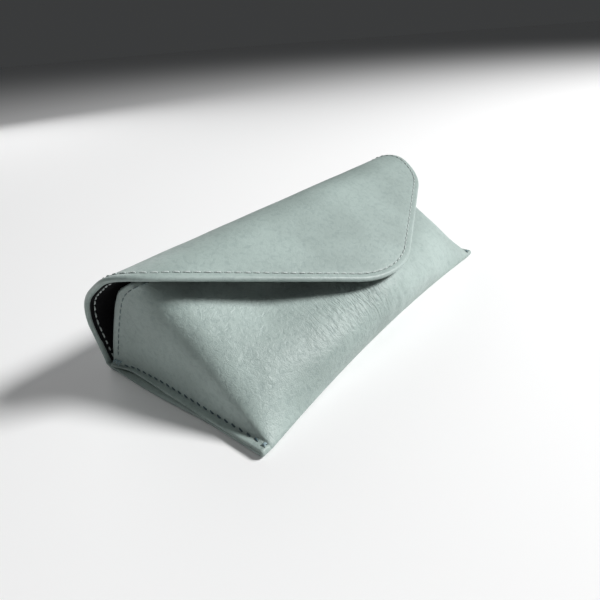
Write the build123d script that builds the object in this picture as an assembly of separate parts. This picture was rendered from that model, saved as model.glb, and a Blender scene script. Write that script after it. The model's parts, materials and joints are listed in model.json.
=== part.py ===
from build123d import *
import os
from math import atan2, ceil, cos, hypot, radians, sin, sqrt, tan

# Soft envelope-style eyeglasses case, closed and lying on its base. Millimetres.
# +X runs along the case, +Y from the bottom fold to the hinge side, +Z is up.
# The origin is the middle of the base's underside.

# ---- driving dimensions ----
base_length = 162.0      # over the two seam ears, at the bottom fold
hinge_half_width = 82.5  # the base widens a little towards the hinge
base_depth = 80.0        # bottom fold to hinge edge
seam_width = 3.4         # flat ear where front and back leather are sewn together
leather = 1.2
lining = 0.6
board = 1.0              # base stiffener
board_inset = 8.0        # from the base's front and back edges
board_half_length = 69.0
base_lining_margin = 1.0 # the lining reaches this far past the board
padding = 1.3            # foam behind the front leather
stiffener = 1.1          # board inside the flap
glue_gap = 0.05          # between layers that are glued or sewn together
padding_clearance = 0.15
body_gap = 0.4           # between bodies that move apart
spine_clearance = 1.8    # between the spine's lining and the front's back corners
split_half_gap = 0.4     # degrees left out on each side of the flap's fold

spine_radius = 26.0      # outside of the rolled top
spine_y = 12.0           # centre of that roll
spine_z = 21.5
flap_slope = 25.6        # degrees below horizontal, towards the tip
flap_half_width = 85.5   # at the roll
flap_tip_y = -40.2
flap_tip_radius = 36.0
flap_left_shoulder_y = 9.0    # the soft flap closes a little askew: its slanted edges
flap_right_shoulder_y = -8.0  # would meet its straight sides here
shoulder_radius = 20.0   # where a slanted edge meets the side

ridge_x = 75.0           # crease between side wing and front facet, at the bottom fold
ridge_spread = 2.5       # and this much further out at the mouth
apex_y, apex_z = 12.0, 41.5  # top end of that crease, at the mouth edge
mouth_mid_y = 7.0        # the mouth edge's middle
ridge_setback = 1.5      # from the bottom fold's corner to the crease
bottom_pull_in = 3.5     # the bottom fold bows inward this much at its middle
front_bulge_y = -41.3    # foremost reach of the front facet
knee_setback = 4.5       # behind the flap's tip the front turns to lie along the flap
wing_bow = 0.3           # share of its run that the wing's mouth edge bows towards the spine
wing_bow_power = 12
wing_overhang = 1.2      # the wing leans out over the seam ear near the mouth
mouth_sag = 4.0          # middle of the mouth edge hangs below the flap's slope
knee_share = 0.5         # of the front's run from the bottom fold to the mouth edge
sag_share = 0.75         # the mouth's sag starts here on the same run
front_rows = 10          # rows of facets from the bottom fold to the mouth edge
wing_stations = (0.3, 0.55, 0.8)        # places of the mesh across a wing, from its foot
facet_stations = (1.0, 0.75, 0.5, 0.25) # and across half the facet, from the crease
crease_stretch = 0.7     # least share of a layer's thickness kept round a crease
padding_first_row = 2    # foam and lining stop this many rows above the bottom fold
padding_foot_z = 3.75    # and this high on the side wings, above the base lining

magnet_radius = 7.0
magnet_thickness = 0.9
magnet_y = -24.0

stitch_pitch = 3.2
seam_pitch = 3.2
stitch_length = 2.3
stitch_width = 0.6
stitch_height = 0.35
stitch_inset = 2.8
stiffener_inset = 6.0    # from the flap's rim
seam_start = 2.5         # from the bottom fold to the first seam stitch
seam_stop = 4.5          # the seam ends this far before the mouth, at the bartack
bartack_pitch = 1.1
bartack_edge = 0.3       # between its stitches and the ear's edge
magnet_play = 0.3        # round each magnet in its seat
stitch_gap = 0.03
hem_thread_clearance = 0.5

# ---- derived places ----
half_length = base_length / 2
half_depth = base_depth / 2
hinge_start_z = leather + body_gap
slope = radians(flap_slope)
flap_thickness = leather + glue_gap + stiffener + glue_gap + lining
split_angle = 90.0       # the flap folds along the top of the roll
seam_mid_z = leather + glue_gap + leather / 2
wing_foot_x = half_length - seam_width
wing_foot_back_y = half_depth - leather - lining - spine_clearance
beyond = 10.0            # how far cutting shapes reach past what they cut


def spine_lean():
    """Angle on the roll where the straight part of the spine is tangent to it, in degrees."""
    dy = half_depth - spine_y
    dz = spine_z - hinge_start_z
    reach = hypot(dy, dz)
    tangent = sqrt(reach**2 - spine_radius**2)
    direction = Vector(dy, -dz).get_angle(Vector(1, 0))
    return Vector(spine_radius, tangent).get_angle(Vector(1, 0)) - direction


lean = radians(spine_lean())


def roll_point(angle, inset):
    """A point (y, z) on the roll, at an angle in degrees from +Y, inset from the outer face."""
    radius = spine_radius - inset
    return (spine_y + radius * cos(radians(angle)), spine_z + radius * sin(radians(angle)))


def flap_surface_z(y, inset):
    """Height of the flap's sloping layer at y, inset from its outer face."""
    start_y, start_z = roll_point(90 + flap_slope, inset)
    return start_z - (start_y - y) * tan(slope)


def spine_start(inset):
    """Lower end (y, z) of the spine's layer, level with the hinge edge."""
    tangent_y, tangent_z = roll_point(spine_lean(), inset)
    return (tangent_y + (tangent_z - hinge_start_z) * tan(lean), hinge_start_z)


def side_section(outer, inner):
    """Closed wire in YZ between two chains of edges that run the same way."""
    ends = [Line(outer[-1] @ 1, inner[-1] @ 1), Line(inner[0] @ 0, outer[0] @ 0)]
    return make_face([*outer, *inner, *ends])


def section_edges(chain):
    """Edges through (y, z) points; an item that holds three points is an arc."""
    edges = []
    for item in chain:
        points = [(0, y, z) for y, z in item]
        edges.append(ThreePointArc(*points) if len(points) == 3 else Line(*points))
    return edges


def spine_layer(near, far, width_foot, width_top):
    """A spine layer between two insets: straight wall, then the back half of the roll."""
    last = split_angle - split_half_gap
    middle = (spine_lean() + last) / 2

    def chain(inset):
        tangent = roll_point(spine_lean(), inset)
        arc = (tangent, roll_point(middle, inset), roll_point(last, inset))
        return section_edges([(spine_start(inset), tangent), arc])

    section = side_section(chain(near), chain(far))
    wall = extrude(section, amount=flap_half_width + beyond, dir=(1, 0, 0), both=True)
    top = spine_z + spine_radius + beyond
    outline = Polygon(
        (-width_foot, 0), (width_foot, 0), (width_top, spine_z), (width_top, top),
        (-width_top, top), (-width_top, spine_z), align=None,
    )
    wall &= extrude(Plane.XZ * outline, amount=base_depth, both=True)
    return wall & extrude(flap_outline(0), amount=base_depth)


def flap_outline(inset):
    """The flap in plan: straight sides, slanted edges and a rounded tip, drawn in from the rim."""
    half_turn = atan2((flap_left_shoulder_y + flap_right_shoulder_y) / 2 - flap_tip_y, flap_half_width)
    sharp_tip_y = flap_tip_y - flap_tip_radius * (1 / cos(half_turn) - 1)
    side = flap_half_width
    sketch = Polygon(
        (-side, base_depth), (-side, flap_left_shoulder_y), (0, sharp_tip_y),
        (side, flap_right_shoulder_y), (side, base_depth), align=None,
    )
    corners = sketch.vertices().sort_by(Axis.Y)
    sketch = fillet(corners[1:3], shoulder_radius)
    sketch = fillet(sketch.vertices().sort_by(Axis.Y)[0], flap_tip_radius)
    return offset(sketch, amount=-inset) if inset else sketch


def flap_layer(near, far, outline, with_roll=True):
    """A flap layer between two insets, cut to an outline in plan."""
    first = split_angle + split_half_gap
    last = 90 + flap_slope

    def chain(inset):
        arc = [roll_point(angle, inset) for angle in (first, (first + last) / 2, last)]
        far_y = flap_tip_y - beyond
        slope_line = (arc[-1], (far_y, flap_surface_z(far_y, inset)))
        return section_edges([tuple(arc), slope_line] if with_roll else [slope_line])

    section = side_section(chain(near), chain(far))
    sheet = extrude(section, amount=flap_half_width + beyond, dir=(1, 0, 0), both=True)
    return sheet & extrude(outline, amount=base_depth)


# ---- the front, one sheet from seam to seam and from bottom fold to mouth edge ----
def centre_line(v):
    """The front's middle section (y, z) at v, from the bottom fold (0) to the mouth edge (1)."""
    knee_y = flap_tip_y + knee_setback
    under_flap = (leather / 2 + body_gap) / cos(slope)
    knee_z = flap_surface_z(knee_y, flap_thickness) - under_flap
    if v < knee_share:
        start = (-half_depth + bottom_pull_in, seam_mid_z)
        arc = ThreePointArc(start, (front_bulge_y, (seam_mid_z + knee_z) / 2), (knee_y, knee_z))
        point = arc @ (v / knee_share)
        return point.X, point.Y
    y = knee_y + (mouth_mid_y - knee_y) * (v - knee_share) / (1 - knee_share)
    sag = mouth_sag * max(0.0, (v - sag_share) / (1 - sag_share)) ** 2
    return y, flap_surface_z(y, flap_thickness) - under_flap - sag


def front_row(v, foot_z, with_ear):
    """Points across the front at v, from the left seam to the right one."""
    foot_y = -half_depth + (wing_foot_back_y + half_depth) * v
    ridge_foot_y = -half_depth + ridge_setback
    ridge = Vector(ridge_x + ridge_spread * v, ridge_foot_y + (apex_y - ridge_foot_y) * v,
                   seam_mid_z + (apex_z - seam_mid_z) * v)
    foot = Vector(wing_foot_x, foot_y, seam_mid_z)
    first = (foot_z - seam_mid_z) / (ridge.Z - seam_mid_z) if foot_z > seam_mid_z else 0.0
    half = []
    if with_ear:
        half.append(Vector(half_length, foot_y, seam_mid_z))
    for t in (first, *wing_stations):
        bow = wing_bow * (foot.Y - ridge.Y) * (t - t**wing_bow_power)
        lean_out = wing_overhang * 4 * t * (1 - t)
        half.append(foot + (ridge - foot) * t + Vector(lean_out, bow, 0) * v**2)
    centre_y, centre_z = centre_line(v)
    for s in facet_stations:
        bulge = 1 - s**2
        half.append(Vector(ridge.X * s, ridge.Y + (centre_y - ridge.Y) * bulge,
                           ridge.Z + (centre_z - ridge.Z) * bulge))
    mirrored = [Vector(-p.X, p.Y, p.Z) for p in half]
    return mirrored + [Vector(0, centre_y, centre_z)] + half[::-1]


def grid_normals(grid):
    """Unit normals of a grid of points, pointing out of the case, stretched at creases."""
    rows, columns = len(grid), len(grid[0])
    normals = []
    for i in range(rows):
        line = []
        for j in range(columns):
            faces = []
            for di, dj in ((1, 1), (1, -1), (-1, 1), (-1, -1)):
                if 0 <= i + di < rows and 0 <= j + dj < columns:
                    up = (grid[i + di][j] - grid[i][j]) * di
                    across = (grid[i][j + dj] - grid[i][j]) * dj
                    faces.append(across.cross(up).normalized())
            mean = sum(faces, Vector(0, 0, 0)).normalized()
            tightest = min(mean.dot(face) for face in faces)
            line.append(mean * (1 / max(crease_stretch, tightest)))
        normals.append(line)
    return normals


def sheet_solid(grid, outward, inward):
    """A closed solid of flat triangles between two offsets of a grid of points."""
    normals = grid_normals(grid)
    rows, columns = len(grid), len(grid[0])
    sides = []
    for offset in (outward, -inward):
        sides.append([[grid[i][j] + normals[i][j] * offset for j in range(columns)] for i in range(rows)])
    outer, inner = sides
    faces = []

    def quad(a, b, c, d):
        faces.append(Face(Wire.make_polygon([a, b, c])))
        faces.append(Face(Wire.make_polygon([a, c, d])))

    for i in range(rows - 1):
        for j in range(columns - 1):
            quad(outer[i][j], outer[i][j + 1], outer[i + 1][j + 1], outer[i + 1][j])
            quad(inner[i][j], inner[i + 1][j], inner[i + 1][j + 1], inner[i][j + 1])
    for j in range(columns - 1):
        quad(outer[0][j], inner[0][j], inner[0][j + 1], outer[0][j + 1])
        quad(outer[-1][j], outer[-1][j + 1], inner[-1][j + 1], inner[-1][j])
    for i in range(rows - 1):
        quad(outer[i][0], outer[i + 1][0], inner[i + 1][0], inner[i][0])
        quad(outer[i][-1], inner[i][-1], inner[i + 1][-1], outer[i + 1][-1])
    return Solid(Shell(faces))


def front_grid(first_row, foot_z, with_ear):
    """Rows of the front sheet, from the first one asked for to the mouth edge."""
    return [front_row(i / front_rows, foot_z, with_ear) for i in range(first_row, front_rows + 1)]


def front_layers():
    """Front leather, and the foam and lining behind it, which stop above the base lining."""
    inner_grid = front_grid(padding_first_row, padding_foot_z, False)
    padding_near = leather / 2 + padding_clearance
    lining_near = padding_near + padding + glue_gap
    return (
        sheet_solid(front_grid(0, 0, True), leather / 2, leather / 2),
        sheet_solid(inner_grid, -padding_near, padding_near + padding),
        sheet_solid(inner_grid, -lining_near, lining_near + lining),
    )


def base_plate(z_low, thickness, half_x, y_front, y_back, bow, back_half_x=None):
    """A flat sheet on the base whose front edge bows inward; it can be wider at the back."""
    back_x = back_half_x or half_x
    edges = [
        ThreePointArc((-half_x, y_front), (0, y_front + bow), (half_x, y_front)),
        Polyline((half_x, y_front), (back_x, y_back), (-back_x, y_back), (-half_x, y_front)),
    ]
    return extrude(Plane.XY.offset(z_low) * make_face(edges), amount=thickness)


def slope_plane(y, inset, drop=0.0):
    """A plane lying in the flap's slope at y, its normal pointing out of the case."""
    origin = Vector(0, y, flap_surface_z(y, inset) - drop)
    return Plane(origin=origin, x_dir=(1, 0, 0), z_dir=(0, -sin(slope), cos(slope)))


# ---- stitching: each thread is a row of short raised stitches in one node ----
def stitch(point, along, normal):
    """One stitch lying on a surface at a point."""
    lift = stitch_gap + stitch_height / 2
    plane = Plane(origin=point + normal * lift, x_dir=along, z_dir=normal)
    return plane * Box(stitch_length, stitch_width, stitch_height)


def stitch_row(start, end, normal, pitch):
    """Evenly spaced stitches on a straight run."""
    run = end - start
    count = ceil(run.length / pitch) - 1
    along = run.normalized()
    return [stitch(start + run * ((i + 0.5) / count), along, normal) for i in range(count)]


def flap_stitches():
    """Stitches that follow the flap's slanted edges and tip, just inside the rim."""
    outline = flap_outline(stitch_inset)
    normal = Vector(0, -sin(slope), cos(slope))
    last_y = roll_point(90 + flap_slope, 0)[0] - stitch_pitch
    low_edges = [e for e in outline.edges() if (e @ 0.5).Y < last_y]
    stitches = []
    for edge in low_edges:
        count = max(1, round(edge.length / stitch_pitch))
        for i in range(count):
            flat = edge @ ((i + 0.5) / count)
            if flat.Y > last_y:
                continue
            direction = edge % ((i + 0.5) / count)
            along = Vector(direction.X, direction.Y, direction.Y * tan(slope)).normalized()
            point = Vector(flat.X, flat.Y, flap_surface_z(flat.Y, 0))
            stitches.append(stitch(point, along, normal))
    return stitches


def spine_stitches():
    """Stitches up both side edges of the spine's straight wall."""
    foot_y, foot_z = spine_start(0)
    top_y, top_z = roll_point(spine_lean(), 0)
    normal = Vector(0, cos(lean), sin(lean))
    stitches = []
    for side in (-1, 1):
        lift = stitch_length
        start = Vector(side * (hinge_half_width - stitch_inset), foot_y - lift * tan(lean), foot_z + lift)
        end = Vector(side * (hinge_half_width - stitch_inset), top_y, top_z)
        stitches += stitch_row(start, end, normal, stitch_pitch)
    return stitches


def mouth_stitches():
    """Stitches along the hem of the front's mouth edge, on the two wings and the facet."""
    below = front_row(1 - 1 / front_rows, padding_foot_z, False)
    edge = front_row(1, padding_foot_z, False)
    row = [(top + low) / 2 for low, top in zip(below, edge)]
    stitches = []
    for a, b, c in zip(row, row[1:], edge):
        normal = (b - a).cross(c - a).normalized()
        on_surface = normal * (leather / 2 + hem_thread_clearance)
        stitches += stitch_row(a + on_surface, b + on_surface, normal, stitch_pitch)
    return stitches


def seam_stitches(side):
    """Stitches along one seam ear."""
    x = side * (half_length - seam_width / 2)
    z = seam_mid_z + leather / 2
    start = Vector(x, -half_depth + seam_start, z)
    end = Vector(x, wing_foot_back_y - seam_stop, z)
    return stitch_row(start, end, Vector(0, 0, 1), seam_pitch)


def bartack(side):
    """Three close stitches across the ear, where the seam ends at the mouth."""
    x = side * (half_length - stitch_length / 2 - bartack_edge)
    z = seam_mid_z + leather / 2
    bars = []
    for i in range(3):
        y = wing_foot_back_y - bartack_pitch * (i + 1)
        bars.append(stitch(Vector(x, y, z), Vector(1, 0, 0), Vector(0, 0, 1)))
    return bars


def build():
    """Every sub-part of the case, by node name."""
    nodes = {}
    nodes["back_panel"] = base_plate(
        0, leather, half_length, -half_depth, half_depth, bottom_pull_in, hinge_half_width)
    board_z = leather + glue_gap
    board_y = half_depth - board_inset
    board_bow = bottom_pull_in / 2
    nodes["base_board"] = base_plate(board_z, board, board_half_length, -board_y, board_y, board_bow)
    lining_z = board_z + board + glue_gap
    lining_y = board_y + base_lining_margin
    lining_x = board_half_length + base_lining_margin
    nodes["base_lining"] = base_plate(lining_z, lining, lining_x, -lining_y, lining_y, board_bow)

    front_leather, front_foam, front_cloth = front_layers()
    pocket_drop = (body_gap + leather + glue_gap * 2 + padding / 2) / cos(slope)
    pocket = slope_plane(magnet_y, flap_thickness, pocket_drop)
    nodes["front_panel"] = front_leather
    nodes["front_padding"] = front_foam - pocket * Cylinder(magnet_radius + magnet_play, beyond / 2)
    nodes["front_lining"] = front_cloth
    nodes["front_magnet"] = pocket * Cylinder(magnet_radius, magnet_thickness)

    nodes["spine_panel"] = spine_layer(0, leather, hinge_half_width, flap_half_width)
    near = leather + glue_gap
    nodes["spine_lining"] = spine_layer(near, near + lining, hinge_half_width, flap_half_width)

    nodes["flap_panel"] = flap_layer(0, leather, flap_outline(0))
    board_far = near + stiffener
    blank = flap_layer(near, board_far, flap_outline(stiffener_inset), with_roll=False)
    seat = slope_plane(magnet_y, (near + board_far) / 2)
    nodes["flap_stiffener"] = blank - seat * Cylinder(magnet_radius + magnet_play, beyond / 2)
    nodes["flap_magnet"] = seat * Cylinder(magnet_radius, magnet_thickness)
    nodes["flap_lining"] = flap_layer(board_far + glue_gap, flap_thickness, flap_outline(0))

    threads = {
        "flap_edge_thread": flap_stitches(),
        "spine_edge_thread": spine_stitches(),
        "mouth_hem_thread": mouth_stitches(),
        "left_seam_thread": seam_stitches(-1),
        "right_seam_thread": seam_stitches(1),
        "left_bartack": bartack(-1),
        "right_bartack": bartack(1),
    }
    for name, stitches in threads.items():
        nodes[name] = Compound(children=stitches)
    return nodes


os.makedirs("parts", exist_ok=True)
for node_name, shape in build().items():
    export_step(shape, f"parts/{node_name}.step")
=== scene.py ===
import json
from math import atan2, cos, pi, radians, sin, sqrt, tan

import bpy
import numpy as np
from mathutils import Matrix, Vector, noise


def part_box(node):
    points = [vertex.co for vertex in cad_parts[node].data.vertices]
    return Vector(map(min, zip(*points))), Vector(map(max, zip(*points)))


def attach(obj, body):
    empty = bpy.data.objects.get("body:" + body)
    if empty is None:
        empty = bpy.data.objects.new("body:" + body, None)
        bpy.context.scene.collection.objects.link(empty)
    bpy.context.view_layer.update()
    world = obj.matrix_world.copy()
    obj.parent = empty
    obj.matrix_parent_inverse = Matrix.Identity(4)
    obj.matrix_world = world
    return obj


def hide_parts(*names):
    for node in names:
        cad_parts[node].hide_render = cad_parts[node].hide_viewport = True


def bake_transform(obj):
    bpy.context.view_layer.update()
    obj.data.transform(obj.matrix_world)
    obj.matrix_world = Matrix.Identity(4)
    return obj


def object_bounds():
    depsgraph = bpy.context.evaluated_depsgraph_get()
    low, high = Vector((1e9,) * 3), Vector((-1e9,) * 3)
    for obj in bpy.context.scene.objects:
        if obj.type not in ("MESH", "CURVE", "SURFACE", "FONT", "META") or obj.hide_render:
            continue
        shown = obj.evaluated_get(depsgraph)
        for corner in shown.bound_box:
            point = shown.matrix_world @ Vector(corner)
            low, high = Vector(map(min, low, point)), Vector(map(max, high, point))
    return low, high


# Looks of the soft eyeglasses case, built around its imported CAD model. Metres, in the CAD frame:
# +X along the case, +Y from the bottom fold to the hinge side, +Z up.
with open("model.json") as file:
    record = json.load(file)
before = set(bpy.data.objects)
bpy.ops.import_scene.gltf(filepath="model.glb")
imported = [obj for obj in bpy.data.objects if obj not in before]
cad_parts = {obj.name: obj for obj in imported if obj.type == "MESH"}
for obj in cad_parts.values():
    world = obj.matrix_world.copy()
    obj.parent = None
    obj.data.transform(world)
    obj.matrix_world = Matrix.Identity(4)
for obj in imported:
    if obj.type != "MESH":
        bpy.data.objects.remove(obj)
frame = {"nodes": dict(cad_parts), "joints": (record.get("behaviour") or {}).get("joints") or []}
cad_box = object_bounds()
MM = 0.001

# ---- places taken from the frame ----
joints = {joint["name"]: joint for joint in frame["joints"]}
HINGE_HALF_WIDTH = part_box("back_panel")[1].x + 0.5 * MM
HALF_LENGTH = HINGE_HALF_WIDTH - 2 * MM      # the base is narrower at the bottom fold
HALF_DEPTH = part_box("back_panel")[1].y
FLAP_HALF_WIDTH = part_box("spine_panel")[1].x
FLAP_TIP_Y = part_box("flap_panel")[0].y
FOLD = Vector(joints["flap_fold"]["pos_m"])

# ---- back sheet: base, hinge, rolled top and flap ----
ROLL_RADIUS = 26 * MM
ROLL_Y = FOLD.y
ROLL_Z = FOLD.z - ROLL_RADIUS
FLAP_SLOPE = radians(25.6)
HINGE_RADIUS = 2.2 * MM
WALL_FOOT_Z = 1.6 * MM
SECTION_POINTS = 6001
FLAP_OVERRUN = 20 * MM       # the section runs on past the flap's tip
SPLIT_Z = 14 * MM            # the hinge leather ends and the roll leather starts at this height
STRIP_START_Y = 34 * MM      # the hinge leather starts here, under the base
BASE_LINING_Y = -34.6 * MM   # front edge of the lining on the base
BASE_LINING_INSET = 6.5 * MM     # from the sheet's sides, inside the wings' feet
WALL_LINING_INSET = 1.5 * MM
INSET_CHANGE_Z = (1.5 * MM, 3.5 * MM)    # where the first inset turns into the second
WALL_START_Z = (1 * MM, 7 * MM)          # where the layers of the base turn into those of the wall
ROLL_SAG = 3.2 * MM          # the soft roll sinks below the round, most at the upper back
SAG_HEADING = 2.55           # the sheet's heading where it sinks most, and how far that spreads
SAG_WIDTH = 0.55
RIGHT_SIDE_X = 83.3 * MM     # the flap's right side, in from the wall's edge
TIP_X = -1.2 * MM
TIP_RADIUS = 37 * MM
LEFT_SHOULDER_Y = 8 * MM     # the flap lies a little askew: its slanted edges would meet
RIGHT_SHOULDER_Y = -8 * MM   # its straight sides here
SHOULDER_RADII = (25 * MM, 29 * MM)
EDGE_THICKNESS = 2.0 * MM    # leather turned over at the rim
LEATHER = 1.2 * MM
RIM_LINING_DEPTH = 2.0 * MM  # of the lining, below the outer face
LINING_DEPTH = 2.5 * MM      # the same over the stiffener
LINING = 0.45 * MM
LINING_RIM_GAP = 0.5 * MM    # between the lining's edge and the leather's
BOARD_EDGE = (4.4 * MM, 5.8 * MM)        # between these insets the leather thins for the stiffener,
BOARD_LEAD = 3 * MM          # and over this length before the slope
# Mesh rings, in mm from the rim: close together at the groove and at the stiffener's edge
LEATHER_RINGS = (1.4, 1.8, 2.2, 2.5, 2.8, 3.1, 3.4, 3.8, 4.4, 5.1, 6.0, 7.5)
LINING_RINGS = (2.1, 2.5, 2.8, 3.1, 3.6, 4.4, 5.1, 6.0, 7.5)
SIDE_POINTS = 75
EDGE_POINTS = 190
ROLL_LUMP_SCALE = 60
ROLL_LUMP_OFFSET = Vector((3, 5, 9))
ROLL_LUMP_HEIGHT = 0.15 * MM
ROLL_LUMP_START = (1 * MM, 12 * MM)      # arc length where the unevenness sets in

# ---- stitching ----
STITCH_INSET = 2.8 * MM
STITCH_PITCH = 3.2 * MM
HEM_INSET = 2.2 * MM
GROOVE_DEPTH = 0.10 * MM     # the thread pulls the leather in
GROOVE_WIDTH = 0.55 * MM
LINING_DENT = 0.15 * MM      # and the lining
EDGE_STITCH = (2.3 * MM, 0.5 * MM, 0.45 * MM)    # length, width and height
HEM_STITCH = (2.0 * MM, 0.4 * MM, 0.4 * MM)
SEAM_STITCH = (2.3 * MM, 0.6 * MM, 0.5 * MM)
KNOT_STITCH = (1.9 * MM, 0.6 * MM, 0.6 * MM)
BARTACK_STITCH = (3.0 * MM, 0.6 * MM, 0.5 * MM)
# size of the dark blob at each stitch end: painted shade of the needle hole
NEEDLE_HOLE_SHADE = (0.5 * MM, 0.42 * MM, 0.1 * MM)
SEAM_SLANT = radians(14)
HEM_SINK = 0.05 * MM         # how deep a line of stitches lies in the leather or the lining
SEAM_SINK = 0.12 * MM
LINING_SINK = 0.1 * MM
CHAIN_POINTS = 1200
SPINE_STITCH_START_Z = 4 * MM
SEAM_ENDS = (3 * MM, 5 * MM)     # the seam stops short of the bottom fold and of the mouth
KNOT_OFFSET = np.array([0, -1.6 * MM, 0.15 * MM])
KNOT_SLOPES = (-0.7, 0.9)
BARTACK_THREADS = 5
BARTACK_OFFSET = np.array([0, -0.4 * MM, 0.02 * MM])
BARTACK_STEP = np.array([0, -0.85 * MM, 0])
BARTACK_SLOPE = 0.35

# ---- pouch: front, bottom fold and base ----
EAR = 3.3 * MM               # flat seam ear beside each wing
FOLD_RADIUS = 1.3 * MM       # half the thickness of the two layers at the bottom fold
EAR_THICKNESS = 1.2 * MM
EAR_GAP = 0.45 * MM          # the ear's two layers part by up to this near the hinge,
EAR_GAP_OPENS = (2 * MM, 16 * MM)        # between these places along Y
EAR_GAP_CLOSES = (30 * MM, 36 * MM)
MOUTH_EAR = 1.6 * MM         # the ear narrows to this at the mouth
EAR_NARROWING = (0.6, 1)     # shares of the way up the front
END_WIDENING = (0.84, 1)     # and here its edge comes out to the hinge's
BASE_WIDENING_Y = (-20 * MM, 20 * MM)
CORNER_INSET = 1 * MM        # the ridge starts this far inside the ear, at the bottom fold
CORNER_EASE = (-0.02, 0.04)
HEM_THICKNESS = 2.3 * MM
RIDGE_FOOT = Vector((77 * MM, -40.2 * MM, 2.4 * MM))    # crease between a wing and the facet
RIDGE_TOP = Vector((78.5 * MM, 12 * MM, 42.3 * MM))
RIDGE_ROUNDING = 120         # rounds of smoothing,
RIDGE_SOFTNESS = 0.8         # the share of each,
MOUTH_STIFFNESS = 0.95       # and how much less the mouth's corners are rounded,
MOUTH_STIFF_ROWS = (34, 6)   # which sets in between these rows from the mouth
FOLD_STIFF_ROWS = (0, 8)     # the rounding sets in between these rows from the fold
MOUTH_MID_Y = 7 * MM
MOUTH_END_GAP = 3.4 * MM     # between the ear's end and the hinge edge
BOTTOM_PULL_IN = 3.5 * MM    # of the bottom fold's middle
FRONT_BULGE_Y = -41.6 * MM
KNEE_INSET = 5 * MM          # behind the flap's tip, where the bulge turns into the slope
KNEE_SHARE = 0.5             # share of the way up the front
WING_OVERHANG = 0.5 * MM     # the wing leans out towards the mouth
WING_BOW = 0.3               # share of its run that the wing's mouth edge bows towards the spine
WING_BOW_POWER = 12
MOUTH_SAG = 5 * MM           # the front sinks towards its mouth
SAG_START = 0.68             # share of the way up the front where that begins, above the magnet
SAG_POWER = 1.3
FACET_DENT = 4 * MM          # the front sinks under the flap's slanted edges
DENT_PLACE = 0.62            # share of the way up the front, and how far that spreads
DENT_SPREAD = 0.24
DENT_DIRECTION = np.array([0, 0.5, -0.85])
FACET_ROUNDNESS = (2, 1.5)   # powers of the bow across the facet, at the fold and higher up
ROUNDNESS_CHANGE = (0.2, 0.6)
FLAP_THICKNESS = 3 * MM
FRONT_GAP = 0.4 * MM         # between the closed flap and the front
FOLD_SHARE = 0.024           # the front's rows are closer together below this share of the way up,
HEM_SHARE = 0.95             # and above this one
FRONT_ROW_COUNTS = (7, 105, 12)
BASE_ROWS = 36
FOLD_STEPS = 5
EAR_STEPS, WING_STEPS, FACET_STEPS = 6, 26, 80
FOLD_SLIT = 0.08 * MM        # between the two layers at the bottom fold
FOLD_ROWS = 6
HEM_ROWS = (14, 8)           # rows from the mouth between which the hem thickens
UNDYED_ROWS = 9              # rows from the mouth where the back of the leather keeps its colour
PAD_DEPTH = 1.3 * MM
PAD_THICKNESS = 1.1 * MM

# ---- the front's lumps and creases ----
LUMP_SCALE = 75
LUMP_HEIGHT = 0.3 * MM
FINE_SCALE = 260
FINE_HEIGHT = 0.08 * MM
FINE_OFFSET = Vector((7, 3, 1))
EASE_ROWS = (2, 14)          # they set in between these rows from the fold,
EASE_COLUMNS = (EAR_STEPS, EAR_STEPS + 8)    # and these columns from the sides
TIP_CREASE_Z = 24 * MM       # creases run out from here, under the flap's tip
TIP_CREASES = 9
TIP_CREASE_DEPTH = 0.16 * MM
TIP_CREASE_REACH = (9 * MM, 8 * MM)
TIP_CREASE_FAN = 1.2
CRINKLE_CENTRE = (-0.020, -0.037, 0.021)    # finer pleats below the flap's edge, in the material
CRINKLE_REACH = (0.050, 0.030, 0.016)


# ---- small helpers ----
def smoothstep(value, low, high):
    t = np.clip((value - low) / (high - low), 0, 1)
    return t * t * (3 - 2 * t)


def bell(value, centre, width):
    return np.exp(-(((value - centre) / width) ** 2))


def unit(vectors):
    return vectors / np.maximum(np.linalg.norm(vectors, axis=-1, keepdims=True), 1e-12)


def mesh_object(name, points, faces, materials, face_materials=None):
    """A new smooth-shaded mesh object; edges sharper than 60 degrees stay crisp."""
    mesh = bpy.data.meshes.new(name)
    mesh.from_pydata(np.asarray(points).tolist(), [], [tuple(map(int, face)) for face in faces])
    for material in materials:
        mesh.materials.append(material)
    if face_materials is not None:
        mesh.polygons.foreach_set("material_index", face_materials)
    mesh.polygons.foreach_set("use_smooth", [True] * len(mesh.polygons))
    mesh.set_sharp_from_angle(angle=radians(60))
    mesh.update()
    piece = bpy.data.objects.new(name, mesh)
    bpy.context.scene.collection.objects.link(piece)
    return piece


def slab(name, points, normals, thickness, faces, loop, outward, material, rim_steps=6):
    """A closed sheet below an outer surface, with a rounded rim where outward isn't zero."""
    thickness = np.broadcast_to(thickness, len(points))[:, None]
    count = len(points)
    inner = points - normals * thickness
    half = thickness[loop] / 2
    middle = points[loop] - normals[loop] * half
    layers = [loop]
    everything = [points, inner]
    start = 2 * count
    for k in range(1, rim_steps):
        angle = pi / 2 - pi * k / rim_steps
        everything.append(middle + normals[loop] * half * sin(angle) + outward * half * cos(angle))
        layers.append(np.arange(start, start + len(loop)))
        start += len(loop)
    layers.append(loop + count)
    quads = [faces, faces[:, ::-1] + count]
    for upper, lower in zip(layers, layers[1:]):
        quads.append(np.stack([upper, lower, np.roll(lower, -1), np.roll(upper, -1)], 1))
    return mesh_object(name, np.concatenate(everything), np.concatenate(quads), [material])


def grid_faces(rows, columns):
    i, j = np.meshgrid(np.arange(rows - 1), np.arange(columns - 1), indexing="ij")
    first = (i * columns + j).ravel()
    return np.stack([first, first + 1, first + columns + 1, first + columns], 1)


def grid_loop(rows, columns):
    """Border indices of a grid, in order round it."""
    index = np.arange(rows * columns).reshape(rows, columns)
    return np.concatenate([index[0, :-1], index[:-1, -1], index[-1, :0:-1], index[:0:-1, 0]])


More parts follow.
